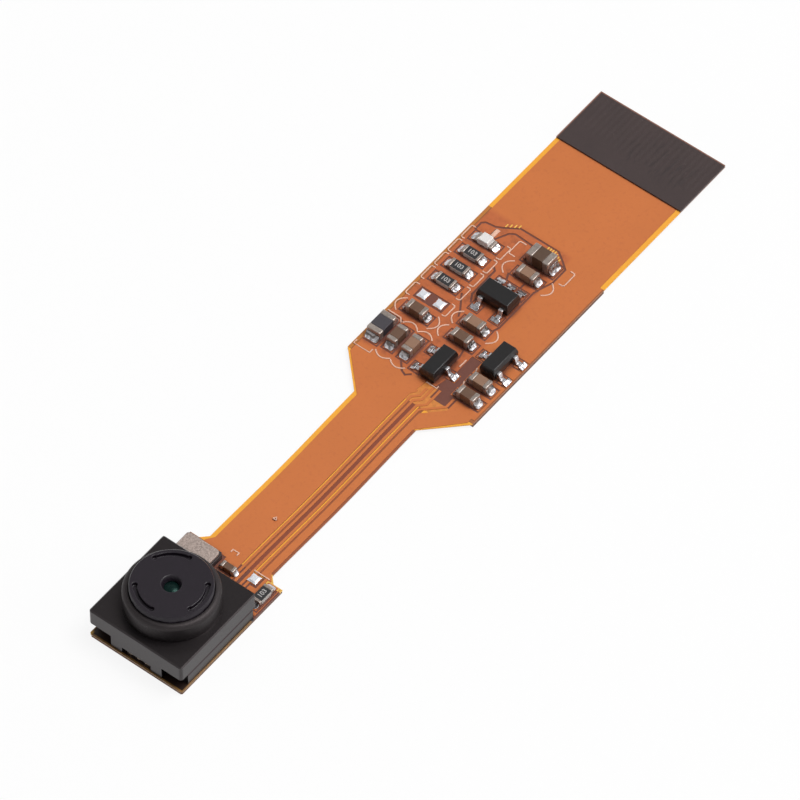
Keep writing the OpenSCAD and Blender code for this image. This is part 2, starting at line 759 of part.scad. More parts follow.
// The three packages: [place, width, leads]
packages = [
    [regulator_place, wide_package_w, five_leads],
    [left_transistor_place, package_w, three_leads],
    [right_transistor_place, package_w, three_leads]
];
module body_of(i) { package_body(packages[i][0], packages[i][1]); }
module leads_of(i) { package_leads(packages[i][0], packages[i][1], packages[i][2]); }

module regulator_body() { body_of(0); }
module regulator_leads() { leads_of(0); }
module left_transistor_body() { body_of(1); }
module left_transistor_leads() { leads_of(1); }
module right_transistor_body() { body_of(2); }
module right_transistor_leads() { leads_of(2); }

// ---- Crystal ----

crystal_w = 3.2;
crystal_d = 2.5;
crystal_base_h = 0.5;
crystal_lid_h = 0.25;
lid_inset = 0.12;
crystal_corner = 0.15;

module crystal_base() {
    color("dimgray") at(crystal_place) linear_extrude(crystal_base_h) polygon([
        [crystal_corner - crystal_w / 2, -crystal_d / 2], [crystal_w / 2 - crystal_corner, -crystal_d / 2],
        [crystal_w / 2, crystal_corner - crystal_d / 2], [crystal_w / 2, crystal_d / 2 - crystal_corner],
        [crystal_w / 2 - crystal_corner, crystal_d / 2], [crystal_corner - crystal_w / 2, crystal_d / 2],
        [-crystal_w / 2, crystal_d / 2 - crystal_corner], [-crystal_w / 2, crystal_corner - crystal_d / 2]
    ]);
}

module crystal_lid() {
    color("lightgray") at(crystal_place, pad_top + crystal_base_h) linear_extrude(crystal_lid_h)
        polygon(rounded_rect(crystal_w - 2 * lid_inset, crystal_d - 2 * lid_inset, 0.3));
}

// ---- Pads and solder ----

spare_w = 0.85;
pad_extra = 0.04;
module chip_pads(place, size) {
    l = fillet_l * (size == tiny_size ? 0.6 : 1) + pad_extra;
    inner = cap_l(size);
    translate([place.x, place.y]) rotate(place[2]) for (side = [0, 1]) mirror([side, 0])
        translate([size[0] / 2 - inner, -size[1] / 2]) square([inner + l, size[1]]);
}

module lead_pads(place, w, leads) {
    translate([place.x, place.y]) rotate(place[2]) for (lead = leads) translate([lead[0], 0])
        mirror([0, lead[1] < 0 ? 1 : 0]) translate([-toe_w / 2 - pad_extra, w / 2 + 0.2])
            square([toe_w + 2 * pad_extra, lead_run - 0.2 + toe_l + pad_extra]);
}

module lead_clearances(place, w, leads) {
    translate([place.x, place.y]) rotate(place[2]) for (lead = leads) translate([lead[0], 0])
        mirror([0, lead[1] < 0 ? 1 : 0]) translate([-toe_w / 2 - pad_clearance, w / 2 + 0.2 - pad_clearance])
            square([toe_w + 2 * pad_clearance, lead_run - 0.2 + toe_l + 2 * pad_clearance]);
}

// Copper pads under everything that is soldered down
module pads() {
    for (c = soldered_chips) chip_pads(c[0], c[1]);
    for (p = packages) lead_pads(p[0], p[1], p[2]);
    for (p = spare_centres) translate(p) square(spare_w, center = true);
    for (sx = [-1, 1], sy = [-1, 1])
        translate([crystal_place.x + sx * (crystal_w / 2 - 0.55), crystal_place.y + sy * (crystal_d / 2 - 0.45)])
            square([0.9, 0.7], center = true);
}

spare_centres = [
    [spare_place.x - spare_pitch / 2, spare_place.y],
    [spare_place.x + spare_pitch / 2, spare_place.y],
    [head_pad_place.x, head_pad_place.y]
];

// Solder standing on the empty pads, highest in the middle
module spare_pads() {
    a = spare_w / 2 - 0.02;
    b = a - 0.04;
    color("silver") for (p = spare_centres) translate([p.x, p.y, pad_top]) {
        linear_extrude(0.06)
            polygon([[a, a], [0, b], [-a, a], [-b, 0], [-a, -a], [0, -b], [a, -a], [b, 0]]);
        translate([0, 0, 0.06]) linear_extrude(0.06) polygon(rounded_rect(1.5 * b, 1.5 * b, 0.25 * b, 2));
    }
}

module solder_joints() {
    color("silver") {
        for (c = soldered_chips) chip_solder(c[0], c[1]);
        for (p = packages) lead_solder(p[0], p[1], p[2]);
    }
}

// ---- Nodes ----

base_film();
top_copper();
bottom_copper();
via_pads();
contact_fingers();
tail_stiffener();
parts_stiffener();
head_stiffener();
lens_holder();
lens_barrel();
front_lens();
second_lens();
third_lens();
rear_lens();
front_spacer();
middle_spacer();
rear_spacer();
retaining_ring();
infrared_filter();
sensor_cover_glass();
sensor_die();
sensor_solder_balls();
slot_capacitors();
crystal_base();
crystal_lid();
capacitor_1();
capacitor_2();
capacitor_3();
capacitor_4();
capacitor_5();
capacitor_6();
capacitor_7();
capacitor_8();
capacitor_9();
supply_capacitor();
ferrite_bead();
resistor_1();
resistor_2();
resistor_3();
head_resistor();
resistor_coats();
end_caps();
lamp_base();
lamp_lens();
regulator_body();
regulator_leads();
left_transistor_body();
left_transistor_leads();
right_transistor_body();
right_transistor_leads();
solder_joints();
spare_pads();
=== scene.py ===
# %% [markdown]
# # A tiny camera on a flexible circuit
# The object is a lens head, a narrow neck, an area with small chip parts and a contact tail.
# The solid model is loaded first and stays fixed. This lesson then gives every surface its
# finish, rounds the edges that a mould or molten solder rounds, prints the white outlines
# around the parts, and ends with the table, the light and the camera.

# %% Load the solid model
import json
import math
import bpy
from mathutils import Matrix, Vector


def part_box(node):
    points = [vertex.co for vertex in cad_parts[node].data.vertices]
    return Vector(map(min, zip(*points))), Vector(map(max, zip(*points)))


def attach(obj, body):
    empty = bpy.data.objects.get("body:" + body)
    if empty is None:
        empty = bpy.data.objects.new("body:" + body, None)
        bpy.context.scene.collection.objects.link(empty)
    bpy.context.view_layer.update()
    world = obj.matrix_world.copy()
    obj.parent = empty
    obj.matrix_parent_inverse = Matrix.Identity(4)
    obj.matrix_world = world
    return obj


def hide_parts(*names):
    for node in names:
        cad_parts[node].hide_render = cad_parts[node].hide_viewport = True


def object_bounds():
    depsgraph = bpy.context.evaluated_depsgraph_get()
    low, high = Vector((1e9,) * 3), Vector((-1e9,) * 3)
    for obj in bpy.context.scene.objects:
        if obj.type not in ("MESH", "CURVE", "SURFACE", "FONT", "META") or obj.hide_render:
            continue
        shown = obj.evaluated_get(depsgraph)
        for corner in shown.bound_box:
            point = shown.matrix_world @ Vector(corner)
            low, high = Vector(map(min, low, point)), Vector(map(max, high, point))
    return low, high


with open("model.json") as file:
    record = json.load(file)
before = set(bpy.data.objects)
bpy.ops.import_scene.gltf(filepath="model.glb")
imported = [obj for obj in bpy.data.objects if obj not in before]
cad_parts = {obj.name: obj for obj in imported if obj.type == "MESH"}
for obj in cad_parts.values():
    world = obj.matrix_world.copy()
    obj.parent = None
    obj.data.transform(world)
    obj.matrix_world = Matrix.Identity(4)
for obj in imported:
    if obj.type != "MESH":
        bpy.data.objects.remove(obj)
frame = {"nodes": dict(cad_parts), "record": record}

MM = 0.001
nodes = frame["nodes"]
cad_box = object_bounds()
print(len(nodes), "solid nodes, box in mm:", [round(side / MM, 2) for side in cad_box[1] - cad_box[0]])

# %% [markdown]
# ## Places on the circuit
# Everything printed or laid on the circuit is placed from the solids, in millimetres, so that
# the numbers can be read. The parts area starts where its stiffener starts, and the tail is
# where its own stiffener lies. The distances from these landmarks are typed numbers.

# %% Measure the landmarks in millimetres
def low(name):
    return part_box(name)[0] / MM


def high(name):
    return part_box(name)[1] / MM


def middle(name):
    return (low(name) + high(name)) / 2


parts_start = low("parts_stiffener").y
parts_end = high("parts_stiffener").y
shelf_end = high("head_stiffener").y
head_front = low("head_stiffener").y
tail_start = low("tail_stiffener").y
tail_end = high("tail_stiffener").y
half_width = high("tail_stiffener").x
ink_level = high("via_pads").z
print("parts area from", round(parts_start, 2), "to", round(parts_end, 2), "mm")

# %% [markdown]
# ## Writing a finish as an expression
# A finish is a small graph of shader nodes. Drawing such a graph in code gets long, so one
# class wraps the output of a node and lets Python's own signs add the Math nodes:
# `0.4 + 0.2 * grain` reads like the sum that it is. Any other node is added by one method.

# %% A wire that does arithmetic
class Wire:
    """The output of a shader node. Arithmetic on it adds Math nodes."""

    def __init__(self, tree, socket):
        self.tree = tree
        self.socket = socket

    def node(self, kind, settings=None, inputs=None, output=0):
        """Adds a node that is fed by values or wires. Returns one of its outputs."""
        made = self.tree.nodes.new("ShaderNode" + kind)
        for name, value in (settings or {}).items():
            setattr(made, name, value)
        for name, value in (inputs or {}).items():
            if isinstance(value, Wire):
                self.tree.links.new(value.socket, made.inputs[name])
            else:
                made.inputs[name].default_value = value
        return Wire(self.tree, made.outputs[output])

    def math(self, operation, first, second=0.0):
        return self.node("Math", {"operation": operation}, {0: first, 1: second})

    def __add__(self, other):
        return self.math("ADD", self, other)

    def __radd__(self, other):
        return self.math("ADD", other, self)

    def __sub__(self, other):
        return self.math("SUBTRACT", self, other)

    def __rsub__(self, other):
        return self.math("SUBTRACT", other, self)

    def __mul__(self, other):
        return self.math("MULTIPLY", self, other)

    def __rmul__(self, other):
        return self.math("MULTIPLY", other, self)

    def __abs__(self):
        return self.math("ABSOLUTE", self)


# %% [markdown]
# ## A few words for finishes
# Finishes share a handful of moves: start a material, find the place on the object in
# millimetres, add a random grain of a given size, mix two colours, and mark a band between
# two places. Each gets a short name here, so that the finishes below stay easy to read.
# Colours are written as the 8-bit values that a screen shows and turned into light values.

# %% Start a finish and find the place on it
def shade(red, green, blue):
    """A screen colour from 0 to 255 as the linear colour that shaders use."""
    values = [value / 255 for value in (red, green, blue)]
    linear = [value / 12.92 if value <= 0.04045 else ((value + 0.055) / 1.055) ** 2.4 for value in values]
    return (*linear, 1.0)


def start_finish(name, **constants):
    """Makes a material with constant settings. Returns it with the place in millimetres."""
    material = bpy.data.materials.new(name)
    material.use_nodes = True
    shader = material.node_tree.nodes["Principled BSDF"]
    for setting, value in constants.items():
        shader.inputs[setting.replace("_", " ")].default_value = value
    metres = Wire(material.node_tree, None).node("TexCoord", output="Object")
    place = metres.node("VectorMath", {"operation": "SCALE"}, {0: metres, "Scale": 1 / MM})
    return material, place


def feed(material, **wires):
    """Links what varies over the surface to the shader's sockets."""
    shader = material.node_tree.nodes["Principled BSDF"]
    for setting, wire in wires.items():
        material.node_tree.links.new(wire.socket, shader.inputs[setting.replace("_", " ")])
    return material


# %% Grain, mixing, bands and relief
def along(place, axis):
    """The x, y or z of a place, as a wire."""
    return place.node("SeparateXYZ", None, {0: place}, axis)


def grain(place, size, detail=2.0, rough=0.5):
    """Random grain from 0 to 1, with features of about size millimetres."""
    inputs = {"Vector": place, "Scale": 1 / size, "Detail": detail, "Roughness": rough}
    return place.node("TexNoise", None, inputs)


def mix(amount, first, second):
    """The first colour where amount is 0, the second where it is 1."""
    return amount.node("Mix", {"data_type": "RGBA"}, {0: amount, 6: first, 7: second}, 2)


def rise(value, start, end):
    """0 below start, 1 above end, and smooth between them."""
    limits = {"Value": value, "From Min": start, "From Max": end}
    return value.node("MapRange", {"interpolation_type": "SMOOTHSTEP"}, limits)


def band(value, start, end, soft=0.03):
    """1 between start and end, 0 outside, with edges soft millimetres wide."""
    return rise(value, start - soft, start + soft) - rise(value, end - soft, end + soft)


def relief(height, depth):
    """Turns a height from 0 to 1 into bumps of the given depth in millimetres."""
    return height.node("Bump", None, {"Height": height, "Strength": 1.0, "Distance": depth * MM})


def tinted(amount, colour, spread):
    """A colour that wanders between a darker and a lighter version of itself."""
    dark = (*[value * (1 - spread) for value in colour[:3]], 1.0)
    light = (*[min(value * (1 + spread), 1.0) for value in colour[:3]], 1.0)
    return mix(amount, dark, light)


# %% [markdown]
# ## The flexible film
# Polyimide film is clear amber. Where nothing lies behind it, the table shines through and its
# edge glows yellow. Where a stiffener lies behind it, the same film looks purple-brown.
# Real transparency would be slow, and the glow would change with every table. So the finish
# mixes these looks by the place along the circuit, with a crisp change at each stiffener.
# Between the tracks of the neck the gaps differ too: two shine gold, the others stay dull.
# The neck's right edge takes the dull colour too, as a painted shadow.

# %% Colours of the film
GLOWING = shade(238, 166, 52)
BACKED = shade(112, 66, 54)
PLATE_BORDER = shade(184, 116, 52)
BORDER_LINE = shade(136, 84, 48)
SHADED = shade(134, 68, 46)
DULL_GAP = shade(150, 82, 48)
FAN_OUT = shade(206, 128, 60)
RIGHT_BORDER = shade(156, 94, 54)
LIT_CORNER = shade(225, 176, 84)
TAIL_EDGE = shade(132, 88, 72)
SHADE_UNDER_HEAD = shade(40, 26, 21)
HEAD_BORDER = shade(140, 104, 58)
print("the film shows twelve colours")

# %% Places on the film, in millimetres
CRISP = 0.02
BORDER_START = 0.34
BORDER_END = 0.42
BORDER_LINE_START = 0.28
BACKED_PAST_PLATE = 1.1
TAPER = 1.1
TRACK_SPAN = (0.4, 2.2)
LEFT_GOLD_GAP = (0.49, 0.58)
RIGHT_GOLD_GAP = (1.64, 1.74)
SHADED_GAP = (1.12, 1.44)
SHADOWED_RIGHT_EDGE = (2.4, 2.5)
FAN_OUT_LOW = (0.2, 3.7)
FAN_OUT_HIGH = (0.2, 1.8)
HEAD_SIDE = (4.08, 4.14)
HEAD_SIDE_END = (3.6, 3.7)
HEAD_BACK = (3.9, 4.0)
print("the border is", BORDER_END, "mm wide")


# %% Mix the film's looks by place
def film_finish():
    material, place = start_finish("amber film", Roughness=0.38)
    x = along(place, "X")
    y = along(place, "Y")
    cloud = grain(place, 1.6, 3.0)
    mottle = grain(place, 0.25, 3.0)
    left_border = 1 - rise(x, BORDER_START - half_width, BORDER_END - half_width)
    right_border = rise(x, half_width - BORDER_END, half_width - BORDER_START)
    on_parts = band(y, parts_start, parts_end + BACKED_PAST_PLATE * (1 - right_border))
    on_plates = on_parts + (1 - rise(y, shelf_end - 0.05, shelf_end + 0.05))
    colour = mix(on_plates, tinted(cloud, GLOWING, 0.07), tinted(mottle, BACKED, 0.14))
    colour = mix(on_parts * left_border, colour, tinted(mottle, PLATE_BORDER, 0.12))
    line = band(x, BORDER_LINE_START - half_width, BORDER_END - half_width)
    colour = mix(on_parts * line, colour, BORDER_LINE)

    # The gaps between the tracks of the neck
    neck = band(y, shelf_end, parts_start - TAPER)
    dull = band(x, *TRACK_SPAN) * (1 - band(x, *LEFT_GOLD_GAP, CRISP))
    colour = mix(neck * dull, colour, DULL_GAP)
    colour = mix(neck * band(x, *RIGHT_GOLD_GAP, CRISP), colour, tinted(cloud, GLOWING, 0.07))
    colour = mix(neck * band(x, *SHADED_GAP, CRISP), colour, SHADED)
    # The neck's right edge takes the dull colour as a painted shadow
    below_fan_out = 1 - rise(y, parts_start - 3.1, parts_start - 2.9)
    colour = mix(neck * below_fan_out * rise(x, *SHADOWED_RIGHT_EDGE), colour, DULL_GAP)

    # Where the tracks fan out, and the right border beside the parts
    fan_out = band(y, parts_start - 1.15, parts_start, CRISP) * band(x, *FAN_OUT_LOW)
    fan_out = fan_out + band(y, parts_start, parts_start + 1, CRISP) * band(x, *FAN_OUT_HIGH)
    colour = mix(fan_out, colour, tinted(mottle, FAN_OUT, 0.3))
    colour = mix(on_parts * right_border, colour, RIGHT_BORDER)

    # Under and round the head: painted shade beneath the holder, and painted light on the lit corner and
    # shelf
    head_edge = rise(abs(x), *HEAD_SIDE) * (1 - rise(y, *HEAD_SIDE_END))
    shade_under_head = (1 - rise(y, *HEAD_BACK)) * (1 - head_edge)
    colour = mix(shade_under_head, colour, SHADE_UNDER_HEAD)
    front_edge = (1 - rise(y, head_front + 0.08, head_front + 0.12)) + head_edge
    colour = mix(front_edge, colour, tinted(mottle, HEAD_BORDER, 0.4))
    lit_corner = (1 - rise(x, -4.12, -3.9)) * (1 - rise(y, head_front + 0.1, head_front + 0.4))
    colour = mix(lit_corner, colour, LIT_CORNER)
    lit_shelf = band(y, shelf_end - 0.3, shelf_end + 0.6) * rise(x, 2.7, 2.8)
    colour = mix(lit_shelf, colour, LIT_CORNER)
    colour = mix(rise(y, tail_start - CRISP, tail_start + CRISP), colour, TAIL_EDGE)
    return feed(material, Base_Color=colour, Normal=relief(cloud, 0.004))


film = film_finish()
print("finished the film")

# %% [markdown]
# ## Copper under its cover layer
# The copper is seen through an amber cover layer, which makes it orange-brown and satin. The
# cover dips softly over every gap, so the edges of tracks look a little darker and the sheet
# is never quite even. Three grains of different size give that: broad clouds, fine mottling
# and short scratches drawn out along the circuit. Where the parts are soldered, dried flux
# stains the sheet in patches. Painted shade darkens the corners beside the parts. Those
# corners are found by an Ambient Occlusion node, which tells how much of the sky is hidden.

# %% Finish for the covered copper
COPPER = shade(200, 113, 57)
PATCH = shade(188, 100, 54)
RESIDUE = shade(132, 70, 44)
CORNER_SHADE = shade(78, 40, 30)
MOTTLED = shade(184, 98, 54)
SHADE_REACH = 0.7


def copper_finish():
    material, place = start_finish("covered copper", Metallic=0.1)
    x = along(place, "X")
    y = along(place, "Y")
    cloud = grain(place, 3.5, 2.0)
    mottle = grain(place, 0.3, 3.0, 0.6)
    streaks = place.node("Mapping", None, {"Vector": place, "Scale": (5.0, 0.35, 1.0)})
    streak = grain(streaks, 1.0, 2.0)
    parts = band(y, parts_start + 1.0, parts_end + 0.9, 0.3) * (1 - rise(x, 1.9, 2.3))
    patchy = grain(place, 0.7, 4.0, 0.6)
    colour = mix(parts, tinted(cloud, COPPER, 0.05), tinted(mottle, PATCH, 0.2))
    colour = mix(0.5 * parts * rise(patchy, 0.5, 0.72), colour, RESIDUE)
    # Painted shade: the copper darkens in the corners beside the parts, where Ambient Occlusion finds the
    # sky hidden
    open_sky = place.node("AmbientOcclusion", {"samples": 8}, {"Distance": SHADE_REACH * MM}, "AO")
    colour = mix(0.8 * rise(1 - open_sky, 0.1, 0.5), colour, CORNER_SHADE)
    colour = mix(0.35 * rise(mottle, 0.5, 0.75), colour, MOTTLED)
    rough = 0.36 + 0.12 * streak + 0.06 * mottle
    marks = relief(0.6 * mottle + 0.4 * streak, 0.005)
    return feed(material, Base_Color=colour, Roughness=rough, Normal=marks)


copper = copper_finish()
print("finished the copper")

# %% [markdown]
# ## Stiffeners
# The plate on the tail is dark brown laminate, matt, with a faint weave and the ridges of the
# contacts pressed through from below. The plates under the head and the parts area are of the
# same family but are seen only at their edges and from below.

# %% Finish for the tail's stiffener and the plates
CONTACT_PITCH = 0.5
LAMINATE = shade(56, 42, 41)
LIGHT_SPECK = shade(84, 68, 66)
PRESSED = shade(36, 26, 27)


def tail_finish():
    material, place = start_finish("dark laminate")
    x = along(place, "X")
    y = along(place, "Y")
    wave = place.node("Math", {"operation": "SINE"}, {0: x * (2 * math.pi / CONTACT_PITCH)})
    ridges = (0.5 + 0.5 * wave) * band(y, tail_end - 3.6, tail_end + 1, 0.2)
    speckle = grain(place, 0.12, 3.0, 0.7)
    cloud = grain(place, 1.8, 2.0)
    colour = tinted(0.6 * cloud + 0.4 * speckle, LAMINATE, 0.22)
    colour = mix(0.35 * rise(speckle, 0.6, 0.8), colour, LIGHT_SPECK)
    drawn_out = place.node("Mapping", None, {"Vector": place, "Scale": (4.0, 0.9, 1.0)})
    streaks = rise(grain(drawn_out, 1.0, 2.0), 0.5, 0.68)
    pressed = band(x, -1.2, 4.6, 0.8) * band(y, tail_end - 4.2, tail_end - 1.2, 0.6)
    colour = mix(0.5 * streaks * pressed, colour, PRESSED)
    inside_end = 1 - rise(y, tail_end - 0.13, tail_end - 0.07)
    rim = 1 - band(x, 0.1 - half_width, half_width + 1, 0.03) * inside_end
    colour = mix(rim, colour, tinted(speckle, TAIL_EDGE, 0.2))
    surface = relief(0.55 * ridges + 0.45 * speckle, 0.012)
    return feed(material, Base_Color=colour, Roughness=0.45 + 0.15 * speckle, Normal=surface)


def plate_finish():
    material, place = start_finish("plate laminate")
    weave = place.node("TexBrick", {"offset": 0.5}, {
        "Vector": place, "Scale": 2.2, "Color1": shade(118, 72, 44), "Color2": shade(104, 62, 38),
        "Mortar": shade(84, 48, 30), "Mortar Size": 0.04, "Mortar Smooth": 1.0})
    speckle = grain(place, 0.15, 3.0)
    return feed(material, Base_Color=weave, Roughness=0.5 + 0.2 * speckle, Normal=relief(speckle, 0.008))


tail_laminate = tail_finish()
plate_laminate = plate_finish()
print("finished the stiffeners")

# %% [markdown]
# ## Black mouldings
# The lens holder, the barrel and the packages are black plastic from tools with a fine eroded
# texture. Black is never flat: the texture catches light as tiny pits, handling leaves faint
# lighter scuffs, and the pits differ in size. One function makes every dark moulding, from
# the size of the pits, the shade and the roughness. The holder gets two things more: its
# turned rim is matt, and on one side painted shade darkens the seam under the block's overhang.

# %% Finish for black plastic
TURRET_HEIGHT = 1.65
BLOCK_HEIGHT = 1.45
# Place and size of the painted shade on the seam under the block's overhang
SEAM_SHADE_DEPTH = BLOCK_HEIGHT + 0.4
SEAM_SHADE_HEIGHT = 0.42
SEAM_SHADE_SIDE = (3.9, 4.0)
SCUFF = shade(92, 90, 92)
SEAM_SHADE = shade(6, 5, 5)
foot_level = high("lens_holder").z - TURRET_HEIGHT


def black_finish(name, tone, pit_size, rough, pit_depth, matt_above=None, **constants):
    """Dark moulded plastic. Above the level matt_above it is matter, and a seam below it gets painted shade.
    """
    material, place = start_finish(name, **constants)
    pits = grain(place, pit_size, 4.0, 0.65)
    cloud = grain(place, 1.5, 2.0)
    scuffs = rise(grain(place, 0.5, 5.0, 0.7), 0.62, 0.78)
    colour = tinted(0.7 * cloud + 0.3 * pits, tone, 0.2)
    colour = mix(0.12 * scuffs, colour, SCUFF)
    uneven = rough + 0.14 * (pits - 0.5)
    if matt_above is not None:
        x = along(place, "X")
        z = along(place, "Z")
        uneven = uneven + 0.2 * rise(z, matt_above, matt_above + 0.4)
        # The seam under the block's overhang, on one side, is painted dark as shade, and it is made
        # metallic, which keeps it dark
        seam_shade_start = matt_above - SEAM_SHADE_DEPTH
        seam_shade = band(z, seam_shade_start, seam_shade_start + SEAM_SHADE_HEIGHT, CRISP) * rise(x, *SEAM_SHADE_SIDE)
        feed(material, Metallic=seam_shade)
        colour = mix(seam_shade, colour, SEAM_SHADE)
    return feed(material, Base_Color=colour, Roughness=uneven, Normal=relief(pits, pit_depth))


holder_plastic = black_finish("holder moulding", shade(19, 17, 18), pit_size=0.09, rough=0.33,
                              pit_depth=0.006, matt_above=foot_level,
                              Specular_Tint=shade(255, 240, 242))
barrel_plastic = black_finish("barrel moulding", shade(25, 17, 27), pit_size=0.07, rough=0.4,
                              pit_depth=0.004, Specular_IOR_Level=0.4)
package_plastic = black_finish("package moulding", shade(20, 18, 19), pit_size=0.08, rough=0.36,
                               pit_depth=0.006)
spacer_film = black_finish("spacer film", shade(22, 22, 24), pit_size=0.06, rough=0.6,
                           pit_depth=0.004)
ferrite_body = black_finish("ferrite body", shade(60, 56, 62), pit_size=0.11, rough=0.5,
                            pit_depth=0.01)
crystal_ceramic = black_finish("crystal ceramic", shade(52, 42, 42), pit_size=0.08, rough=0.5,
                               pit_depth=0.006)
print("finished the black mouldings")

# %% [markdown]
# ## Metals
# The end caps of the chips are tinned and matt. Leads are drawn tin, the contacts and plated
# holes are gold, and the crystal's lid is a stamped plate with a sandy, warm grey surface. They
# differ in colour, in roughness and in the size of the marks, so one function makes them all.
# Solder gets a finish of its own: its lumps are painted bright at the foot and dark higher up,
# as painted reflection and shade, and waves in the surface break up what they reflect, both as
# bumps and as painted darker patches.

# %% Finish for metals
def metal_finish(name, tone, rough, mark_size, spread, depth, metallic=1.0, contrast=1.0):
    material, place = start_finish(name, Metallic=metallic)
    marks = rise(grain(place, mark_size, 3.0, 0.6), 0.5 - 0.5 / contrast, 0.5 + 0.5 / contrast)
    cloud = grain(place, mark_size * 6, 2.0)
    colour = tinted(0.5 * marks + 0.5 * cloud, tone, spread)
    uneven = rough + 0.25 * (cloud - 0.5) + 0.1 * (marks - 0.5)
    return feed(material, Base_Color=colour, Roughness=uneven, Normal=relief(marks, depth))


tinned = metal_finish("tinned ends", shade(166, 154, 146), rough=0.36, mark_size=0.14,
                      spread=0.3, depth=0.006, metallic=0.7, contrast=2.0)
tinned_pads = metal_finish("tinned pads", shade(232, 234, 240), rough=0.4, mark_size=0.2,
                           spread=0.1, depth=0.004, metallic=0.4)
lead_metal = metal_finish("lead metal", shade(214, 212, 214), rough=0.3, mark_size=0.1,
                          spread=0.12, depth=0.008)
gold = metal_finish("gold plating", shade(226, 172, 92), rough=0.3, mark_size=0.15,
                    spread=0.1, depth=0.004)
# The plated holes are gold, painted bright and mostly matt as a painted glint
plated_holes_painted_glint = metal_finish("plated holes", shade(255, 196, 92), rough=0.3, mark_size=0.15,
                            spread=0.1, depth=0.004, metallic=0.2)
lid_metal = metal_finish("crystal lid", shade(170, 154, 146), rough=0.55, mark_size=0.16,
                         spread=0.36, depth=0.02, metallic=0.5, contrast=3.0)
# The slot's small parts take a light, speckled metal colour all over: their tinned ends, and painted glints
# in the dark slot
slot_parts_painted_glints = metal_finish("slot parts", shade(196, 176, 160), rough=0.35, mark_size=0.2,
                          spread=0.6, depth=0.01, metallic=0.3, contrast=4.0)
print("finished the metals")

# %% Finish for solder lumps
SOLDER_SHADED = shade(96, 88, 84)
SOLDER_LIT = shade(214, 212, 216)
WAVE_DEPTH = 0.06


def solder_finish():
    material, place = start_finish("solder", Metallic=0.9)
    waves = grain(place, 0.26, 0.0)
    frost = grain(place, 0.1, 3.0)
    # Painted shade on the upper part of each lump, a painted highlight at its foot, and painted darker
    # patches along the waves
    shadow = rise(along(place, "Z"), ink_level + 0.08, ink_level + 0.3)
    dark = tinted(frost, SOLDER_SHADED, 0.3)
    bright = tinted(frost, SOLDER_LIT, 0.1)
    colour = mix(0.7 * shadow + 0.45 * rise(waves, 0.5, 0.62), bright, dark)
    rough = 0.16 + 0.16 * frost
    return feed(material, Base_Color=colour, Roughness=rough, Normal=relief(waves, WAVE_DEPTH))


solder = solder_finish()
print("finished the solder")

# %% [markdown]
# ## Ceramics, glaze and resin
# Chip capacitors are fired brown ceramic, slightly grainy. Resistors are white alumina with a
# black glaze on top. The lamp is white laminate with a milky cast lens.

# %% Finish for ceramics, glaze and resin
def ceramic_finish(name, tone, rough, spread, **constants):
    material, place = start_finish(name, **constants)
    speckle = grain(place, 0.06, 3.0, 0.7)
    cloud = grain(place, 0.6, 2.0)
    colour = tinted(0.5 * speckle + 0.5 * cloud, tone, spread)
    uneven = rough + 0.15 * speckle
    return feed(material, Base_Color=colour, Roughness=uneven, Normal=relief(speckle, 0.005))


capacitor_ceramic = ceramic_finish("capacitor ceramic", shade(140, 106, 84), rough=0.4, spread=0.24)
dark_ceramic = ceramic_finish("dark ceramic", shade(100, 72, 54), rough=0.4, spread=0.28)
supply_ceramic = ceramic_finish("supply ceramic", shade(84, 62, 46), rough=0.35, spread=0.24)
alumina = ceramic_finish("alumina", shade(188, 184, 180), rough=0.5, spread=0.08)
glaze = ceramic_finish("black glaze", shade(36, 35, 37), rough=0.4, spread=0.2)
lamp_laminate = ceramic_finish("lamp laminate", shade(236, 232, 230), rough=0.5, spread=0.06)
lamp_resin = ceramic_finish("lamp resin", shade(226, 222, 220), rough=0.2, spread=0.05,
                            Coat_Weight=0.5, Coat_Roughness=0.12)
ink = ceramic_finish("white ink", shade(224, 180, 158), rough=0.6, spread=0.16)
figure_ink = ceramic_finish("figure ink", shade(176, 172, 170), rough=0.55, spread=0.1)
silicon = ceramic_finish("silicon", shade(60, 58, 74), rough=0.2, spread=0.1, Metallic=0.4)
print("finished the ceramics")

# %% [markdown]
# ## Optical parts
# The front lens is clear plastic with a green anti-reflection coating, seen at the bottom of a
# black cone. The filter and the sensor's cover are thin glass behind it.

# %% Finish for lenses and glass
def optic_finish(name, tone, tint, through, rough=0.04):
    material, place = start_finish(name, IOR=1.52, Transmission_Weight=through, Specular_Tint=tint)
    haze = grain(place, 0.5, 2.0)
    return feed(material, Base_Color=tinted(haze, tone, 0.08), Roughness=rough + 0.04 * haze)


coated_lens = optic_finish("coated lens", shade(12, 32, 30), tint=shade(120, 165, 155),
                           through=0.2, rough=0.24)
clear_lens = optic_finish("clear lens", shade(225, 240, 236), tint=shade(200, 255, 235), through=0.9)
cyan_glass = optic_finish("filter glass", shade(190, 226, 232), tint=shade(255, 190, 200), through=0.9)
clear_glass = optic_finish("cover glass", shade(238, 244, 246), tint=shade(255, 255, 255), through=0.95)
print("finished the optics")

# %% [markdown]
# ## Dressing the solid nodes
# Each solid takes its finish by its name. The table says which, and a solid that is missing
# from it would show at once as an error here, so none is left bare.

# %% Give every node its finish
def dress(thing, material):
    thing.data.materials.clear()
    thing.data.materials.append(material)


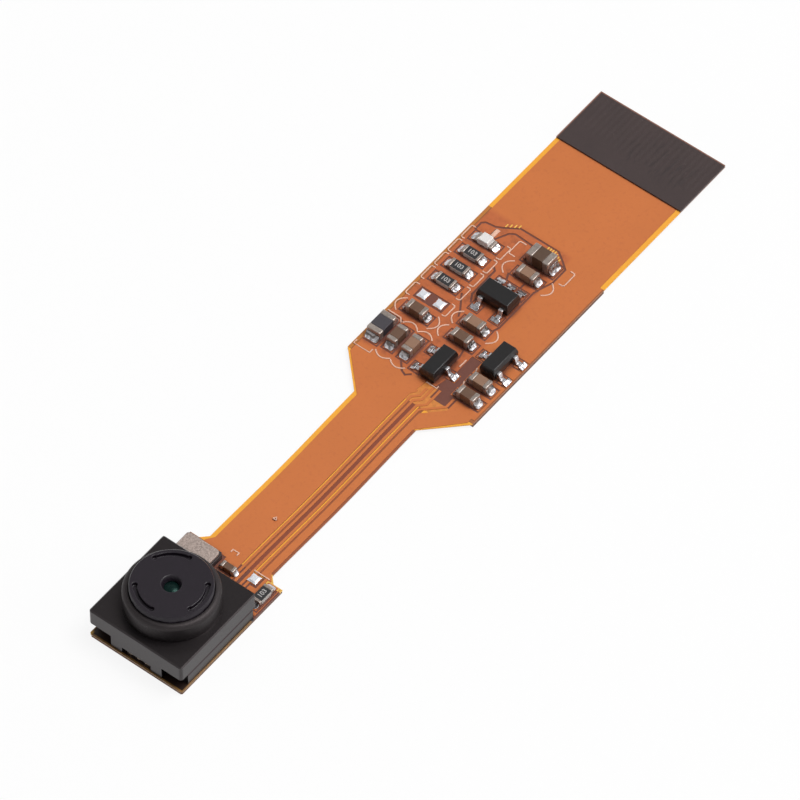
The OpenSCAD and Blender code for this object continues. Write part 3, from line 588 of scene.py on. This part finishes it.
FINISHES = {
    "base_film": film,
    "top_copper": copper,
    "bottom_copper": copper,
    "via_pads": plated_holes_painted_glint,
    "contact_fingers": gold,
    "tail_stiffener": tail_laminate,
    "parts_stiffener": plate_laminate,
    "head_stiffener": plate_laminate,
    "lens_holder": holder_plastic,
    "lens_barrel": barrel_plastic,
    "front_lens": coated_lens,
    "second_lens": clear_lens,
    "third_lens": clear_lens,
    "rear_lens": clear_lens,
    "front_spacer": spacer_film,
    "middle_spacer": spacer_film,
    "rear_spacer": spacer_film,
    "retaining_ring": spacer_film,
    "infrared_filter": cyan_glass,
    "sensor_cover_glass": clear_glass,
    "sensor_die": silicon,
    "sensor_solder_balls": solder,
    "slot_capacitors": slot_parts_painted_glints,
    "crystal_base": crystal_ceramic,
    "crystal_lid": lid_metal,
    "supply_capacitor": supply_ceramic,
    "ferrite_bead": ferrite_body,
    "resistor_1": alumina,
    "resistor_2": alumina,
    "resistor_3": alumina,
    "head_resistor": alumina,
    "resistor_coats": glaze,
    "end_caps": tinned,
    "lamp_base": lamp_laminate,
    "lamp_lens": lamp_resin,
    "regulator_body": package_plastic,
    "regulator_leads": lead_metal,
    "left_transistor_body": package_plastic,
    "left_transistor_leads": lead_metal,
    "right_transistor_body": package_plastic,
    "right_transistor_leads": lead_metal,
    "solder_joints": solder,
    "spare_pads": tinned_pads,
}
FINISHES.update({f"capacitor_{number}": capacitor_ceramic for number in (3, 4, 6, 8)})
FINISHES.update({f"capacitor_{number}": dark_ceramic for number in (1, 2, 5, 7, 9)})
for name, thing in nodes.items():
    dress(thing, FINISHES[name])
print("dressed", len(nodes), "nodes")

# %% [markdown]
# ## Rounded edges
# Moulded and fired parts have no knife edges, and the thin line of light along a small radius
# is what makes them look real. The solid stays as it is: its mesh is copied, welded, cleared of
# the lines inside flat faces, and then rounded by a Bevel modifier, as a modeller would do by
# hand. The large faces keep flat shading, so that the light rolls only over the small radius.
# The copy stands for the solid in the picture.

# %% Copy a solid and round its edges
def deselect():
    for thing in bpy.context.selected_objects:
        thing.select_set(False)


def activate(piece):
    deselect()
    piece.select_set(True)
    bpy.context.view_layer.objects.active = piece


def welded_copy(name):
    """A copy of a solid's mesh with its loose triangles joined and its flat faces whole."""
    piece = bpy.data.objects.new(name + "_shaped", nodes[name].data.copy())
    bpy.context.scene.collection.objects.link(piece)
    activate(piece)
    bpy.ops.object.mode_set(mode="EDIT")
    bpy.ops.mesh.select_all(action="SELECT")
    bpy.ops.mesh.remove_doubles(threshold=0.0005 * MM)
    bpy.ops.mesh.dissolve_limited(angle_limit=math.radians(0.1))
    bpy.ops.object.mode_set(mode="OBJECT")
    return piece


def stand_in(piece, name):
    """Lets a piece stand for a solid: puts it under the root body and hides the solid."""
    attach(piece, "root")
    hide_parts(name)
    return piece


SHARP = math.radians(50)
SMOOTH_BELOW = math.radians(48)
FLAT_AREA = 0.5 * MM * MM


def round_edges(piece, radius, segments):
    """Rounds the sharp edges and smooths the shading."""
    bevel = piece.modifiers.new("round", "BEVEL")
    bevel.width = radius * MM
    bevel.segments = segments
    bevel.limit_method = "ANGLE"
    bevel.angle_limit = SHARP
    activate(piece)
    bpy.ops.object.modifier_apply(modifier="round")
    soften(piece)


def soften(piece):
    """Smooth shading over small faces, flat shading on large and level ones."""
    activate(piece)
    bpy.ops.object.shade_smooth_by_angle(angle=SMOOTH_BELOW)
    for face in piece.data.polygons:
        level = abs(face.normal.z) > 0.9999
        if level or face.area > FLAT_AREA:
            face.use_smooth = False


def rounded(name, radius, segments=2):
    """Replaces a solid by a copy with rounded edges."""
    piece = welded_copy(name)
    round_edges(piece, radius, segments)
    return stand_in(piece, name)


# %% Round the mouldings, chips and leads
rounded("lens_barrel", radius=0.05, segments=3)
for name in ("regulator_body", "left_transistor_body", "right_transistor_body"):
    rounded(name, radius=0.04)
for name in ("regulator_leads", "left_transistor_leads", "right_transistor_leads"):
    rounded(name, radius=0.03)
rounded("end_caps", radius=0.07, segments=4)
rounded("crystal_lid", radius=0.05)
rounded("crystal_base", radius=0.03)
rounded("lamp_lens", radius=0.06, segments=3)
small_capacitors = [f"capacitor_{number}" for number in range(1, 10)]
for name in ["ferrite_bead", "supply_capacitor"] + small_capacitors:
    rounded(name, radius=0.03)

# %% [markdown]
# ## The lens holder and its turned rim
# The holder is a square block with a round turret. The rim of the turret is turned smooth and
# has a large radius that catches a soft band of light. The solid's mesh is too coarse for
# that band. So a box cuts the turret off a copy of the holder, just above the foot, and a
# new turret takes its place: a cylinder of 128 sides, hollowed by inset and extrude, rounded
# by a bevel of its upper edges, and joined to the block by a union. It is a hair wider than
# the old one, so that it covers the stub that the cut leaves.

# %% Cut the turret off a copy of the holder
CUTTER_SIZE = 12
STUB = 0.06
OVERSIZE = 0.002
RIM_ROUND = 0.36
MOUTH_ROUND = 0.04
TURRET_SIDES = 128
SEAT_DEPTH = 0.7
LEDGE = 0.11
CLEARANCE = 0.03
SUNK = 0.05
MERGE_DISTANCE = 0.0008
turret_mount = next(mount for mount in frame["record"]["mounts"] if mount["name"] == "lens_turret")
turret_radius = turret_mount["dims"]["r_mm"] + OVERSIZE
mouth_radius = high("lens_barrel").x + CLEARANCE
rim_level = high("lens_holder").z


def combine(piece, tool, operation):
    """Cuts the tool from a piece or adds it, merges points that meet and closes small gaps."""
    boolean = piece.modifiers.new("combine", "BOOLEAN")
    boolean.operation = operation
    boolean.solver = "EXACT"
    boolean.object = tool
    activate(piece)
    bpy.ops.object.modifier_apply(modifier="combine")
    bpy.ops.object.mode_set(mode="EDIT")
    bpy.ops.mesh.select_all(action="SELECT")
    bpy.ops.mesh.remove_doubles(threshold=MERGE_DISTANCE * MM)
    bpy.ops.mesh.fill_holes(sides=4)
    bpy.ops.object.mode_set(mode="OBJECT")
    bpy.data.objects.remove(tool)


holder = welded_copy("lens_holder")
deselect()
cutter_middle = (foot_level + CUTTER_SIZE / 2 + STUB) * MM
bpy.ops.mesh.primitive_cube_add(size=CUTTER_SIZE * MM, location=(0, 0, cutter_middle))
combine(holder, bpy.context.object, "DIFFERENCE")
print("the block keeps", len(holder.data.polygons), "faces")

# %% Turn a new turret
def select_faces(piece, wanted):
    """Selects the faces for which wanted(face) is true, in edit mode."""
    bpy.ops.object.mode_set(mode="EDIT")
    bpy.ops.mesh.select_mode(type="FACE")
    bpy.ops.mesh.select_all(action="DESELECT")
    bpy.ops.object.mode_set(mode="OBJECT")
    for face in piece.data.polygons:
        face.select = wanted(face)
    bpy.ops.object.mode_set(mode="EDIT")


def step_inwards(width, depth):
    """Insets the selected face, then pushes it down."""
    bpy.ops.mesh.inset(thickness=width * MM)
    bpy.ops.mesh.extrude_region_move(TRANSFORM_OT_translate={"value": (0, 0, -depth * MM)})


deselect()
turret_depth = TURRET_HEIGHT + SUNK
turret_middle = (rim_level - turret_depth / 2) * MM
bpy.ops.mesh.primitive_cylinder_add(vertices=TURRET_SIDES, radius=turret_radius * MM,
                                    depth=turret_depth * MM, location=(0, 0, turret_middle))
turret = bpy.context.object
bpy.ops.object.transform_apply(location=True, rotation=True, scale=True)
select_faces(turret, lambda face: face.normal.z > 0.9)
step_inwards(turret_radius - mouth_radius, SEAT_DEPTH)
step_inwards(LEDGE, turret_depth - SEAT_DEPTH)
bpy.ops.mesh.delete(type="FACE")
bpy.ops.object.mode_set(mode="OBJECT")
select_faces(turret, lambda face: face.normal.z < -0.9)
bpy.ops.mesh.delete(type="FACE")
bpy.ops.mesh.select_mode(type="EDGE")
bpy.ops.mesh.select_non_manifold()
bpy.ops.mesh.bridge_edge_loops()
bpy.ops.object.mode_set(mode="OBJECT")
print("turret of radius", turret_radius, "mm with a mouth of", round(mouth_radius, 2), "mm")

# %% Round its rim and join it to the block
NEAR = 0.01


def bevel_rim(piece, radius, width, segments):
    """Rounds the ring of edges that has this radius and lies on the rim."""
    bpy.ops.object.mode_set(mode="EDIT")
    bpy.ops.mesh.select_mode(type="EDGE")
    bpy.ops.mesh.select_all(action="DESELECT")
    bpy.ops.object.mode_set(mode="OBJECT")
    points = piece.data.vertices
    on_rim = [abs(point.co.xy.length / MM - radius) < NEAR and abs(point.co.z / MM - rim_level) < NEAR
              for point in points]
    for edge in piece.data.edges:
        edge.select = on_rim[edge.vertices[0]] and on_rim[edge.vertices[1]]
    bpy.ops.object.mode_set(mode="EDIT")
    bpy.ops.mesh.bevel(offset=width * MM, segments=segments, affect="EDGES")
    bpy.ops.object.mode_set(mode="OBJECT")


bevel_rim(turret, turret_radius, RIM_ROUND, segments=8)
bevel_rim(turret, mouth_radius, MOUTH_ROUND, segments=2)
dress(turret, holder_plastic)
combine(holder, turret, "UNION")
soften(holder)
for face in holder.data.polygons:
    upright = abs(face.normal.z) < 0.001
    if upright and face.center.z > foot_level * MM:
        face.use_smooth = False
stand_in(holder, "lens_holder")
print("the holder has", len(holder.data.polygons), "faces")

# %% [markdown]
# ## Polished lenses
# The lens solids are made of flat rings. Light would show every ring, so copies of them are
# shaded smooth, which bends the light as a polished surface does.

# %% Shade the lenses smooth
for name in ("front_lens", "second_lens", "third_lens", "rear_lens"):
    lens = welded_copy(name)
    bpy.ops.object.shade_smooth_by_angle(angle=math.radians(35))
    stand_in(lens, name)
print("polished four lenses")

# %% [markdown]
# ## Solder lumps
# Molten solder pulls itself round. The solids hold it as wedges, so a copy is rebuilt in small
# even squares with a voxel remesh, and a few rounds of smoothing then draw the wedges into
# lumps, much as surface tension does. The squares are 0.035 mm for the joints and 0.025 mm
# for the empty pads, fine enough for a lump that is half a millimetre long.

# %% Melt the wedges into lumps
def melted(name, voxel, rounds):
    """Replaces a solid by a copy in small squares, smoothed a number of rounds."""
    piece = welded_copy(name)
    remesh = piece.modifiers.new("squares", "REMESH")
    remesh.mode = "VOXEL"
    remesh.voxel_size = voxel * MM
    smooth = piece.modifiers.new("tension", "SMOOTH")
    smooth.factor = 0.5
    smooth.iterations = rounds
    bpy.ops.object.modifier_apply(modifier="squares")
    bpy.ops.object.modifier_apply(modifier="tension")
    bpy.ops.object.shade_smooth()
    return stand_in(piece, name)


lumps = melted("solder_joints", voxel=0.035, rounds=12)
melted("spare_pads", voxel=0.025, rounds=10)
print("solder lumps have", len(lumps.data.polygons), "faces")

# %% [markdown]
# ## Printed outlines
# White ink marks each part's place: square brackets round the resistors and the lamp, round
# brackets round the capacitors. Ink stands up by 0.02 mm with soft edges. A line is easiest to
# draw as a curve with a round section, which is then made a mesh and pressed flat. Marks are
# placed from the part that they belong to, and two on the film from the landmarks.

# %% Draw one ink line
INK_WIDTH = 0.12
INK_HEIGHT = 0.02
LAMP_MARK_WIDTH = 0.4


def ink_line(points, width=INK_WIDTH):
    """A flat bead of ink along points in millimetres. Returns the mesh object."""
    curve = bpy.data.curves.new("ink", "CURVE")
    curve.dimensions = "3D"
    curve.bevel_depth = width / 2 * MM
    curve.bevel_resolution = 1
    curve.use_fill_caps = True
    spline = curve.splines.new("POLY")
    spline.points.add(len(points) - 1)
    for point, (x, y) in zip(spline.points, points):
        point.co = (x * MM, y * MM, 0, 1)
    line = bpy.data.objects.new("ink", curve)
    bpy.context.scene.collection.objects.link(line)
    activate(line)
    bpy.ops.object.convert(target="MESH")
    for vertex in line.data.vertices:
        vertex.co.z = vertex.co.z * 2 * INK_HEIGHT / width + ink_level * MM
    return line


# %% Square and round brackets
CORNER_CUT = 0.1


def square_bracket(centre, reach, half, tip, side):
    """Points of a square bracket: side 1 is the right one, -1 the left one."""
    edge = centre[0] + side * reach
    inner = edge - side * tip
    before = edge - side * CORNER_CUT
    top = centre[1] + half
    bottom = centre[1] - half
    return [(inner, top), (before, top), (edge, top - CORNER_CUT),
            (edge, bottom + CORNER_CUT), (before, bottom), (inner, bottom)]


def round_bracket(centre, reach, half, turn, bulge, steps=8):
    """Points of a round bracket whose middle lies at reach, turned to any side."""
    points = []
    for step in range(steps + 1):
        along = 2 * step / steps - 1
        out = reach - bulge * along * along
        across = half * along
        points.append((centre[0] + out * math.cos(turn) - across * math.sin(turn),
                       centre[1] + out * math.sin(turn) + across * math.cos(turn)))
    return points


# %% Place the marks by their parts
lines = []
for name in ("lamp_base", "resistor_1", "resistor_2", "resistor_3"):
    centre = middle(name)
    lines.append(square_bracket(centre, reach=1.81, half=0.67, tip=0.36, side=-1))
    lines.append(square_bracket(centre, reach=1.82, half=0.67, tip=0.36, side=1))

spare = (middle("resistor_1").x + 0.15, middle("capacitor_1").y + 1.62)
lines.append(square_bracket(spare, reach=1.95, half=0.62, tip=0.4, side=-1))
lines.append(square_bracket(spare, reach=1.75, half=0.62, tip=0.3, side=1))

for name, reach in (("capacitor_1", 1.91), ("capacitor_4", 2.0), ("capacitor_8", 2.22)):
    for turn in (0, math.pi):
        lines.append(round_bracket(middle(name), reach, half=0.7, turn=turn, bulge=0.5))
lines.append(round_bracket(middle("capacitor_5"), reach=2.1, half=0.65, turn=math.pi, bulge=0.45))
for name in ("capacitor_2", "capacitor_3"):
    lines.append(round_bracket(middle(name), reach=1.85, half=0.68, turn=math.pi / 2, bulge=0.4))
    lines.append(round_bracket(middle(name), reach=2.06, half=0.68, turn=-math.pi / 2, bulge=0.34))
for name in ("capacitor_6", "capacitor_7"):
    centre = middle(name)
    lines.append([(centre.x - 1.2, centre.y + 1.15), (centre.x - 1.12, centre.y + 0.86)])
print(len(lines), "marks beside the small parts")

# %% Place the brackets of the larger parts and the small ticks
supply = middle("supply_capacitor")
lines.append(square_bracket(supply, reach=2.56, half=0.7, tip=0.6, side=-1))
lines.append(square_bracket(supply, reach=2.54, half=0.72, tip=0.44, side=1))
bead = middle("ferrite_bead")
lines.append([(bead.x - 0.8, bead.y - 1.9), (bead.x - 0.8, bead.y - 2.28), (bead.x + 0.66, bead.y - 2.28),
              (bead.x + 0.66, bead.y - 1.9)])
lines.append([(bead.x - 0.75, bead.y + 1.66), (bead.x + 0.45, bead.y + 1.66), (bead.x + 0.75, bead.y + 1.3)])
transistor = middle("left_transistor_body")
lines.append([(transistor.x + 0.05, transistor.y - 1.56), (transistor.x + 1.02, transistor.y - 1.56),
              (transistor.x + 1.02, transistor.y - 1.34)])
lines.append([(transistor.x + 1.1, transistor.y + 1.0), (transistor.x + 1.12, transistor.y + 1.8)])
lines.append([(1.55, shelf_end + 0.12), (2.95, shelf_end + 0.12)])
chip = middle("capacitor_9")
lines.append([(chip.x - 0.9, chip.y + 1.35), (chip.x - 0.9, chip.y + 1.62), (chip.x - 0.35, chip.y + 1.62),
              (chip.x - 0.35, chip.y + 1.35)])
neck_mark = parts_start - 15.5
lines.append([(-0.28, neck_mark), (-0.02, neck_mark), (-0.15, neck_mark + 0.22), (-0.28, neck_mark)])

inked = [ink_line(points) for points in lines]
lamp_x = middle("lamp_base").x
lamp_end = high("lamp_base").y
inked.append(ink_line([(lamp_x, lamp_end + 0.35), (lamp_x, lamp_end + 1.1)], LAMP_MARK_WIDTH))
print(len(inked), "ink lines")

# %% Join the lines into one piece
def join(pieces, name):
    deselect()
    for piece in pieces:
        piece.select_set(True)
    bpy.context.view_layer.objects.active = pieces[0]
    bpy.ops.object.join()
    pieces[0].name = name
    return pieces[0]


outlines = join(inked, "printed_outlines")
dress(outlines, ink)
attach(outlines, "root")
print("joined the lines into", outlines.name)

# %% [markdown]
# ## Value marks on the resistors
# A chip resistor carries three plain figures that give its value. They are printed in pale ink
# on the glaze. Text is made a mesh before it is moved to its place, so that its numbers are real
# geometry at the origin like every other piece.

# %% Print the figures
FIGURES = "103"
FIGURE_HEIGHT = 0.52
FIGURE_THICKNESS = 0.004
FIGURE_WEIGHT = 0.008


def figures(name, turn):
    """Prints the figures on a resistor, turned about the vertical."""
    deselect()
    bpy.ops.object.text_add()
    words = bpy.context.object
    words.data.body = FIGURES
    words.data.align_x = "CENTER"
    words.data.align_y = "CENTER"
    words.data.size = FIGURE_HEIGHT * MM
    words.data.extrude = FIGURE_THICKNESS * MM
    words.data.offset = FIGURE_WEIGHT * MM
    bpy.ops.object.convert(target="MESH")
    glaze_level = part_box("resistor_coats")[1].z
    centre = middle(name)
    for vertex in words.data.vertices:
        x, y = vertex.co.x, vertex.co.y
        vertex.co.x = x * math.cos(turn) - y * math.sin(turn) + centre.x * MM
        vertex.co.y = x * math.sin(turn) + y * math.cos(turn) + centre.y * MM
        vertex.co.z += glaze_level
    return words


marks = [figures(name, turn=0) for name in ("resistor_1", "resistor_2", "resistor_3")]
marks.append(figures("head_resistor", turn=math.pi / 2))
figure_marks = join(marks, "value_figures")
dress(figure_marks, figure_ink)
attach(figure_marks, "root")
print("printed the figures")

# %% [markdown]
# ## Table, light and camera
# The object lies on a white table with a white wall round it. To the camera, and in reflections,
# both are nearly pure white, yet the table keeps a soft shadow. The light is a grey studio
# ceiling, one large soft box overhead and a weak one at the side, at a level where colours
# look as written.

# %% The white table and wall
PAINT = (0.86, 0.86, 0.86, 1)
SEEN_GLOW = 0.88
TABLE_SIZE = 5
WALL_RADIUS = 2.2
WALL_HEIGHT = 1.6
WALL_MIDDLE = 0.75


def white_studio():
    """White paint that glows to the camera, in reflections and through glass."""
    material, place = start_finish("white studio", Base_Color=PAINT, Roughness=0.7)
    tree = material.node_tree
    direct = place.node("LightPath", None, None, "Is Camera Ray")
    mirrored = place.node("LightPath", None, None, "Is Glossy Ray")
    through = place.node("LightPath", None, None, "Is Transmission Ray")
    seen = place.math("MAXIMUM", place.math("MAXIMUM", direct, mirrored), through)
    glow = place.node("Emission", None, {"Color": (1, 1, 1, 1), "Strength": 1.0}, "Emission")
    shader = Wire(tree, tree.nodes["Principled BSDF"].outputs["BSDF"])
    mixed = place.node("MixShader", None, {0: seen * SEEN_GLOW, 1: shader, 2: glow}, "Shader")
    tree.links.new(mixed.socket, tree.nodes["Material Output"].inputs["Surface"])
    return material


studio = white_studio()
deselect()
bpy.ops.mesh.primitive_plane_add(size=TABLE_SIZE, location=(0, 0, cad_box[0].z - 0.01 * MM))
table = bpy.context.object
table.name = "table"
bpy.ops.mesh.primitive_cylinder_add(radius=WALL_RADIUS, depth=WALL_HEIGHT, end_fill_type="NOTHING",
                                    location=(0, 0, WALL_MIDDLE))
wall = bpy.context.object
wall.name = "wall"
for thing in (table, wall):
    dress(thing, studio)
print("set the table")

# %% The light
CEILING_STRENGTH = 0.38
world = bpy.data.worlds.new("studio ceiling")
world.use_nodes = True
ceiling = world.node_tree.nodes["Background"]
ceiling.inputs["Color"].default_value = (1, 1, 1, 1)
ceiling.inputs["Strength"].default_value = CEILING_STRENGTH
bpy.context.scene.world = world

aim = (cad_box[0] + cad_box[1]) / 2


def soft_box(name, direction, distance, size, watts):
    """A square lamp that faces the object. Sizes and distances are in metres."""
    bpy.ops.object.light_add(type="AREA", location=aim + Vector(direction).normalized() * distance)
    lamp = bpy.context.object
    lamp.name = name
    lamp.data.shape = "SQUARE"
    lamp.data.size = size
    lamp.data.energy = watts
    lamp.rotation_euler = (lamp.location - aim).to_track_quat("Z", "Y").to_euler()


soft_box("soft_box", direction=(0.35, 0.3, 1.0), distance=0.9, size=0.5, watts=6.6)
soft_box("side_box", direction=(0.9, 0.5, 0.5), distance=0.9, size=0.35, watts=0.8)
print("placed the lights")

# %% The camera
AZIMUTH = math.radians(38.1)
ELEVATION = math.radians(52.5)
DISTANCE = 0.6
AIM_SHIFT = (0.09, -0.79)
FOCAL_LENGTH = 373.5
level = math.cos(ELEVATION)
back = Vector((math.sin(AZIMUTH) * level, -math.cos(AZIMUTH) * level, math.sin(ELEVATION)))
target = Vector((aim.x + AIM_SHIFT[0] * MM, aim.y + AIM_SHIFT[1] * MM, cad_box[0].z))
bpy.ops.object.camera_add(location=target + back * DISTANCE)
camera = bpy.context.object
camera.rotation_euler = back.to_track_quat("Z", "Y").to_euler()
camera.data.sensor_width = 36
camera.data.lens = FOCAL_LENGTH
camera.data.clip_start = 0.01
bpy.context.scene.camera = camera
bpy.context.scene.view_settings.view_transform = "Standard"
print("camera", round(DISTANCE, 2), "m away")
